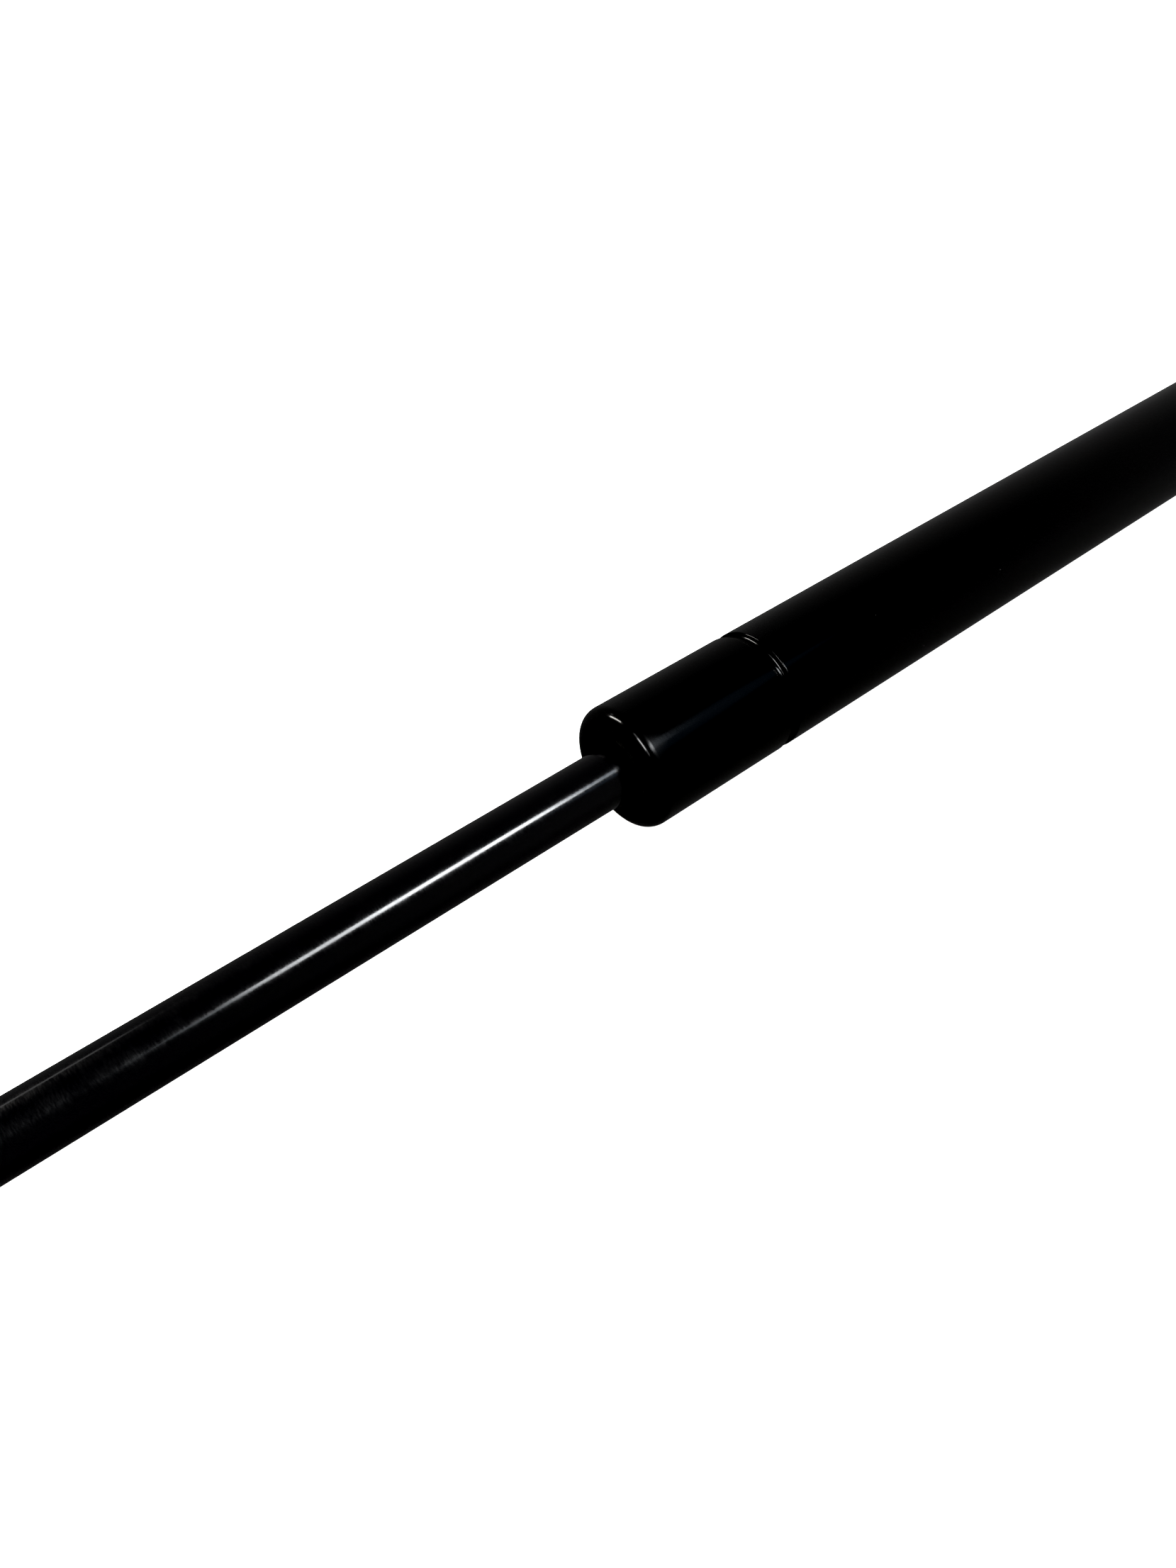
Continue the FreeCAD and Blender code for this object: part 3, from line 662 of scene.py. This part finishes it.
class Finish(Nodes):
    """One material, ended by surface(). Sizes and places on it are in millimetres."""

    def __init__(self, name):
        self.material = bpy.data.materials.new(name)
        self.material.use_nodes = True
        super().__init__(self.material.node_tree)
        self.tree.nodes.clear()

    def place(self, stretch=(1, 1, 1)):
        """The place on the object, each direction stretched by a factor."""
        here = self.node("ShaderNodeTexCoord", out="Object")
        scale = [factor / MM for factor in stretch]
        return self.node("ShaderNodeMapping", {"Vector": here, "Scale": scale})

    def noise(self, size, stretch=(1, 1, 1), detail=2.0):
        """Noise from 0 to 1 with lumps of a size."""
        sockets = {"Vector": self.place(stretch), "Scale": 1 / size, "Detail": detail}
        return self.node("ShaderNodeTexNoise", sockets)

    def from_axis(self):
        """The distance from the spring's axis."""
        sockets = {0: self.place((0, 1, 1)), 1: (0, 0, AXIS_Z / MM)}
        return self.node("ShaderNodeVectorMath", sockets, out="Value", operation="DISTANCE")

    def from_mouth(self):
        """The distance behind the mouth along the axis, negative on the rod's side."""
        here = self.node("ShaderNodeSeparateXYZ", {0: self.place()}, out="X")
        return here - MOUTH_X / MM

    def specks(self, spacing, share, size):
        """Round specks of a size with soft edges, in this share of the cells of a spacing."""
        sockets = {"Vector": self.place(), "Scale": 1 / spacing}
        cell = self.node("ShaderNodeTexVoronoi", sockets, out="Color")
        away = self.node("ShaderNodeTexVoronoi", sockets, out="Distance")
        draw = self.node("ShaderNodeSeparateColor", {0: cell})
        chosen = self.ramp(draw, 1 - share, 1 - share + SHARP_STEP)
        return chosen * self.ramp(away * spacing, size, size * SPECK_CORE)

    def mixed(self, share, first, second):
        """Two colours, the second by a share."""
        sockets = {0: share, 6: (*first, 1), 7: (*second, 1)}
        return self.node("ShaderNodeMix", sockets, out=2, data_type="RGBA")

    def relief(self, height, depth, under=None):
        """A normal bumped by a height, whose 0 to 1 is a depth in micrometres."""
        sockets = {"Height": height, "Strength": 1.0, "Distance": depth * MICRON}
        if under:
            sockets["Normal"] = under
        return self.node("ShaderNodeBump", sockets)

    def surface(self, **sockets):
        """Ends the material. An underscore in a socket's name stands for a space."""
        named = {key.replace("_", " "): value for key, value in sockets.items()}
        return self.end_with(self.node("ShaderNodeBsdfPrincipled", named))

    def end_with(self, shader):
        """Makes a shader the material's surface."""
        output = self.tree.nodes.new("ShaderNodeOutputMaterial")
        self.feed(output.inputs["Surface"], shader)
        return self.material


def tube_paint():
    """Satin black paint with a fine orange peel, faint rolling marks, and a few specks of dust.
    It is duller on the rolled shoulder of the mouth, and dull on the cut edge of its lip."""
    finish = Finish("satin_black_paint")
    cloud = finish.noise(9, detail=3)
    behind = finish.from_mouth()
    shoulder = finish.ramp(behind, 1.5, 2.0, 0, 0.09) * finish.ramp(behind, 2.2, 4.5, 1, 0)
    cut_edge = finish.ramp(finish.from_axis(), 6.7, 7.4, 0.5, 0)
    peel = finish.noise(0.9)
    marks = finish.noise(0.35, stretch=(1, 0.08, 0.08))
    dust = finish.specks(4.5, 0.25, 0.07)
    painted = finish.ramp(cloud, 0.3, 0.7, 0.1, 0.13)
    return finish.surface(
        Base_Color=finish.mixed(dust, BLACK, (0.05, 0.05, 0.048)),
        Roughness=painted + dust * SPECK_ROUGHNESS + shoulder + cut_edge,
        IOR=1.2,
        Normal=finish.relief(marks, 1.2, finish.relief(peel, 2.5)),
    )


def rod_black():
    """Black nitrided steel, ground round and round: fine rings and scuffs break up what it mirrors."""
    finish = Finish("ground_black_nitride")
    rings = finish.noise(0.16, stretch=(1, 0.2, 0.2), detail=3)
    scuffs = finish.noise(0.3, detail=3)
    patches = finish.noise(2.6, detail=3)
    dust = finish.specks(2.5, 0.2, 0.05)
    ground = finish.ramp(rings, 0.35, 0.65, 0.09, 0.15)
    return finish.surface(
        Base_Color=finish.mixed(dust, (0.0005, 0.0005, 0.0006), (0.05, 0.055, 0.06)),
        Roughness=ground + finish.ramp(patches, 0.4, 0.7, 0, 0.04),
        IOR=1.4,
        Normal=finish.relief(rings, 0.6, finish.relief(scuffs, 2.0)),
    )


def zinc():
    """Satin zinc plating: slightly bluish, softly clouded, with a fine grain."""
    finish = Finish("satin_zinc")
    cloud = finish.noise(3.5, detail=4)
    grain = finish.noise(0.5, detail=1)
    share = finish.ramp(cloud, 0.3, 0.7)
    return finish.surface(
        Base_Color=finish.mixed(share, (0.48, 0.50, 0.53), (0.58, 0.59, 0.60)),
        Metallic=0.95,
        Roughness=finish.ramp(cloud, 0.3, 0.7, 0.5, 0.58),
        Normal=finish.relief(grain, 0.8),
    )


def turned_steel():
    """Bright steel with the fine rings of the lathe, running round the axis."""
    finish = Finish("turned_steel")
    rings = finish.noise(0.16, stretch=(1, 0.02, 0.02), detail=3)
    cloud = finish.noise(2.5, detail=3)
    return finish.surface(
        Base_Color=finish.mixed(cloud, (0.32, 0.33, 0.34), (0.50, 0.50, 0.50)),
        Metallic=1.0,
        Roughness=finish.ramp(rings, 0.3, 0.7, 0.25, 0.42),
        Normal=finish.relief(rings, 4.0),
    )


def spring_steel():
    """Dark, oiled wire with faint drawing lines."""
    finish = Finish("oiled_spring_steel")
    cloud = finish.noise(1.4, detail=4)
    lines = finish.noise(0.12, stretch=(0.3, 0.3, 1), detail=2)
    return finish.surface(
        Base_Color=finish.mixed(cloud, (0.10, 0.10, 0.105), (0.26, 0.25, 0.24)),
        Metallic=1.0,
        Roughness=finish.ramp(lines, 0.3, 0.7, 0.22, 0.36),
        Normal=finish.relief(lines, 1.5),
    )


def black_washer_steel():
    """Dull, fine-grained black of phosphated steel."""
    finish = Finish("black_phosphate")
    grain = finish.noise(0.12, detail=3)
    cloud = finish.noise(1.5, detail=3)
    return finish.surface(
        Base_Color=finish.mixed(cloud, BLACK, (0.002, 0.002, 0.0022)),
        Roughness=finish.ramp(cloud, 0.3, 0.7, 0.45, 0.6),
        IOR=1.2,
        Normal=finish.relief(grain, 3.0),
    )


def cast_alloy():
    """Pale, slightly rough skin of die-cast light alloy."""
    finish = Finish("cast_alloy")
    grain = finish.noise(0.25, detail=4)
    cloud = finish.noise(2.0, detail=3)
    return finish.surface(
        Base_Color=finish.mixed(cloud, (0.48, 0.49, 0.50), (0.68, 0.68, 0.69)),
        Metallic=1.0,
        Roughness=finish.ramp(grain, 0.3, 0.7, 0.32, 0.5),
        Normal=finish.relief(grain, 5.0),
    )


def sintered_bronze():
    """Bronze pressed from powder, with fine open pores."""
    finish = Finish("sintered_bronze")
    pores = finish.specks(0.22, 0.5, 0.05)
    cloud = finish.noise(1.2, detail=3)
    return finish.surface(
        Base_Color=finish.mixed(cloud, (0.40, 0.24, 0.11), (0.56, 0.38, 0.20)),
        Metallic=1.0,
        Roughness=finish.ramp(cloud, 0.3, 0.7, 0.34, 0.46) + pores * SPECK_ROUGHNESS,
        Normal=finish.relief(1 - pores, 6.0),
    )


def moulded_plastic(name, dark, light, roughness, grain_size):
    """A moulded skin: faint flow streaks between two colours, and a fine grain."""
    finish = Finish(name)
    flow = finish.noise(3.0, stretch=(0.4, 1, 1), detail=3)
    grain = finish.noise(grain_size, detail=3)
    return finish.surface(
        Base_Color=finish.mixed(flow, dark, light),
        Roughness=finish.ramp(grain, 0.3, 0.7, roughness - 0.05, roughness + 0.08),
        Normal=finish.relief(grain, 4.0),
    )


# The finish of each material slot in the record
FINISHES = {
    "tube_paint": tube_paint(),
    "rod_nitride": rod_black(),
    "zinc_steel": zinc(),
    "plug_steel": turned_steel(),
    "spring_steel": spring_steel(),
    "black_steel": black_washer_steel(),
    "piston_alloy": cast_alloy(),
    "bush_bronze": sintered_bronze(),
    "guide_plastic": moulded_plastic(
        "natural_acetal", (0.74, 0.73, 0.68), (0.84, 0.83, 0.79), 0.4, 0.3),
    "ring_ptfe": moulded_plastic(
        "filled_fluoropolymer", (0.07, 0.08, 0.07), (0.13, 0.15, 0.13), 0.45, 0.15),
    "rubber": moulded_plastic(
        "nitrile_rubber", (0.003, 0.003, 0.003), (0.006, 0.006, 0.0065), 0.55, 0.12),
}


def finish_cad_nodes():
    """Gives every CAD node its finish; those that stay are inside the tube."""
    for part in frame["record"]["subparts"]:
        node = frame["nodes"][part["node"]]
        for slot in node.material_slots:
            slot.material = FINISHES[part["material_slot"]]


def dress(piece, body, node, slot):
    """Weights a piece's normals by area, so that long faces shade true between their small rounded
    edges, gives it its finish and the body that it rides on, and hides the node that it stands for."""
    alone(piece)
    bpy.ops.object.modifier_add(type="WEIGHTED_NORMAL")
    weighted = piece.modifiers[-1]
    weighted.keep_sharp = True
    bpy.ops.object.modifier_apply(modifier=weighted.name)
    piece.data.materials.clear()
    piece.data.materials.append(FINISHES[slot])
    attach(piece, body)
    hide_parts(node)


def panel(name, start, end, width, radiance, colour=(1, 1, 1)):
    """A soft panel a metre from the mouth, as long as it is from one direction to the other."""
    first, last = Vector(start).normalized(), Vector(end).normalized()
    outwards = (first + last).normalized()
    along = (last - first).normalized()
    data = bpy.data.lights.new(name, "AREA")
    data.shape = "RECTANGLE"
    data.size = (last - first).length
    data.size_y = width
    data.energy = radiance * math.pi * data.size * width
    data.color = colour
    light = bpy.data.objects.new(name, data)
    bpy.context.scene.collection.objects.link(light)
    light.location = Vector((MOUTH_X, 0, AXIS_Z)) + outwards
    light.rotation_euler = Matrix((along, outwards.cross(along), outwards)).transposed().to_euler()


def make_floor():
    """The plain floor under the studs. Gloss doesn't mirror it."""
    deselect()
    bpy.ops.mesh.primitive_plane_add(size=FLOOR_SIZE, location=(0, 0, FLOOR_Z))
    floor = bpy.context.object
    floor.name = "floor"
    floor.visible_glossy = False
    pale = Finish("pale_floor")
    shader = pale.node("ShaderNodeBsdfDiffuse", {"Color": FLOOR_COLOUR})
    floor.data.materials.append(pale.end_with(shader))


def make_world():
    """White light from all round. Gloss mirrors a dim grey room instead, which is dimmer high up,
    low down and towards the rod."""
    world = bpy.data.worlds.new("studio")
    world.use_nodes = True
    world.cycles.sampling_method = "NONE"
    room = Nodes(world.node_tree)
    direction = room.node("ShaderNodeTexCoord", out="Generated")
    along = room.node("ShaderNodeSeparateXYZ", {0: direction}, out="X")
    height = room.node("ShaderNodeSeparateXYZ", {0: direction}, out="Z")
    level = room.ramp(height, -0.6, -0.1, 0.5, 1) * room.ramp(height, 0.5, 0.85, 1, 0.6)
    mirrored = level * room.ramp(along, 0.1, 0.45, 0.65, 1) * ROOM_MIRRORED
    glossy = room.node("ShaderNodeLightPath", out="Is Glossy Ray")
    background = world.node_tree.nodes["Background"]
    room.feed(background.inputs["Strength"], room.ramp(glossy, 0, 1, ROOM_LIGHT, mirrored))
    room.feed(background.inputs["Color"], (1, 1, 1, 1))
    bpy.context.scene.world = world


def make_camera():
    """The camera at the photograph's angle, placed from the middle of the mouth."""
    data = bpy.data.cameras.new("camera")
    data.sensor_fit = "AUTO"
    data.sensor_width = SENSOR
    data.lens = FOCAL_PIXELS / PHOTO_HEIGHT * SENSOR
    data.clip_start = NEAREST_SEEN
    camera = bpy.data.objects.new("camera", data)
    bpy.context.scene.collection.objects.link(camera)
    flat = Vector((math.cos(CAMERA_HEADING), math.sin(CAMERA_HEADING), 0))
    forward = flat * math.cos(CAMERA_PITCH) - UPWARDS * math.sin(CAMERA_PITCH)
    right = forward.cross(UPWARDS).normalized()
    up = right.cross(forward)
    mouth = Vector((MOUTH_X, 0, AXIS_Z))
    camera.location = mouth + right * CAMERA_RIGHT + up * CAMERA_UP - forward * CAMERA_BACK
    camera.rotation_euler = forward.to_track_quat("-Z", "Y").to_euler()
    bpy.context.scene.camera = camera


def set_levels():
    """A plain view, in which the deepest greys are black."""
    view = bpy.context.scene.view_settings
    view.view_transform = "Standard"
    view.use_curve_mapping = True
    view.curve_mapping.black_level = [BLACK_LEVEL] * 3
    view.curve_mapping.update()


finish_cad_nodes()
dress(make_tube(), "tube", "pressure_tube", "tube_paint")
dress(make_rod(), "rod", "piston_rod", "rod_nitride")
dress(make_mouth_washer(), "tube", "mouth_cover_washer", "black_steel")
dress(make_plug(), "tube", "end_plug", "plug_steel")

tube_nut = make_nut()
tube_socket = make_socket()
tube_ring = make_wire_ring()
tube_stud = make_stud()
rod_nut = copied(tube_nut, "rod_nut", rod_nut_low.x - nut_low.x)
rod_socket = copied(tube_socket, "rod_socket", ROD_BALL_X, half_turn=True)
rod_ring = copied(tube_ring, "rod_wire_ring", ROD_BALL_X)
rod_stud = copied(tube_stud, "rod_stud", ROD_BALL_X)
dress(tube_nut, "tube", "tube_lock_nut", "zinc_steel")
dress(tube_socket, "tube", "tube_ball_socket", "zinc_steel")
dress(tube_ring, "tube_snap_ring", "tube_snap_ring", "spring_steel")
dress(tube_stud, "tube_ball_stud", "tube_ball_stud", "zinc_steel")
dress(rod_nut, "rod", "rod_lock_nut", "zinc_steel")
dress(rod_socket, "rod", "rod_ball_socket", "zinc_steel")
dress(rod_ring, "rod_snap_ring", "rod_snap_ring", "spring_steel")
dress(rod_stud, "rod_ball_stud", "rod_ball_stud", "zinc_steel")

make_floor()
make_world()
make_camera()
set_levels()

# Panels: key and its fades stand above the tube on the camera's side and make the long highlight
# on the rod and the patch behind the mouth. The bars stand above the rod, and the back panels
# low on the far side.
panel("key", (0.38, -0.41, 0.82), (0.185, -0.475, 0.86), 0.18, 25, (0.95, 0.98, 1.0))
panel("key_fade", (0.40, -0.405, 0.815), (0.055, -0.52, 0.85), 0.18, 22, (0.95, 0.98, 1.0))
panel("key_end", (0.49, -0.39, 0.78), (0.37, -0.42, 0.83), 0.16, 5, (0.78, 0.88, 1.0))
panel("key_tail", (0.2, -0.48, 0.85), (-0.02, -0.545, 0.84), 0.1, 2.6, (0.85, 0.92, 1.0))
panel("key_glow", (0.58, -0.49, 0.66), (0.46, -0.45, 0.76), 0.42, 0.32, (0.4, 0.65, 1.0))
panel("bar", (-0.46, -0.06, 0.88), (-0.49, -0.42, 0.77), 0.1, 60)
panel("bar_ends", (-0.40, 0.12, 0.91), (-0.45, -0.58, 0.68), 0.1, 8)
panel("back", (-0.32, 0.85, 0.42), (-0.37, 0.58, 0.73), 0.1, 65, (1.0, 0.97, 0.92))
panel("back_fade", (-0.22, 0.84, 0.49), (-0.06, 0.86, 0.50), 0.08, 1.5)
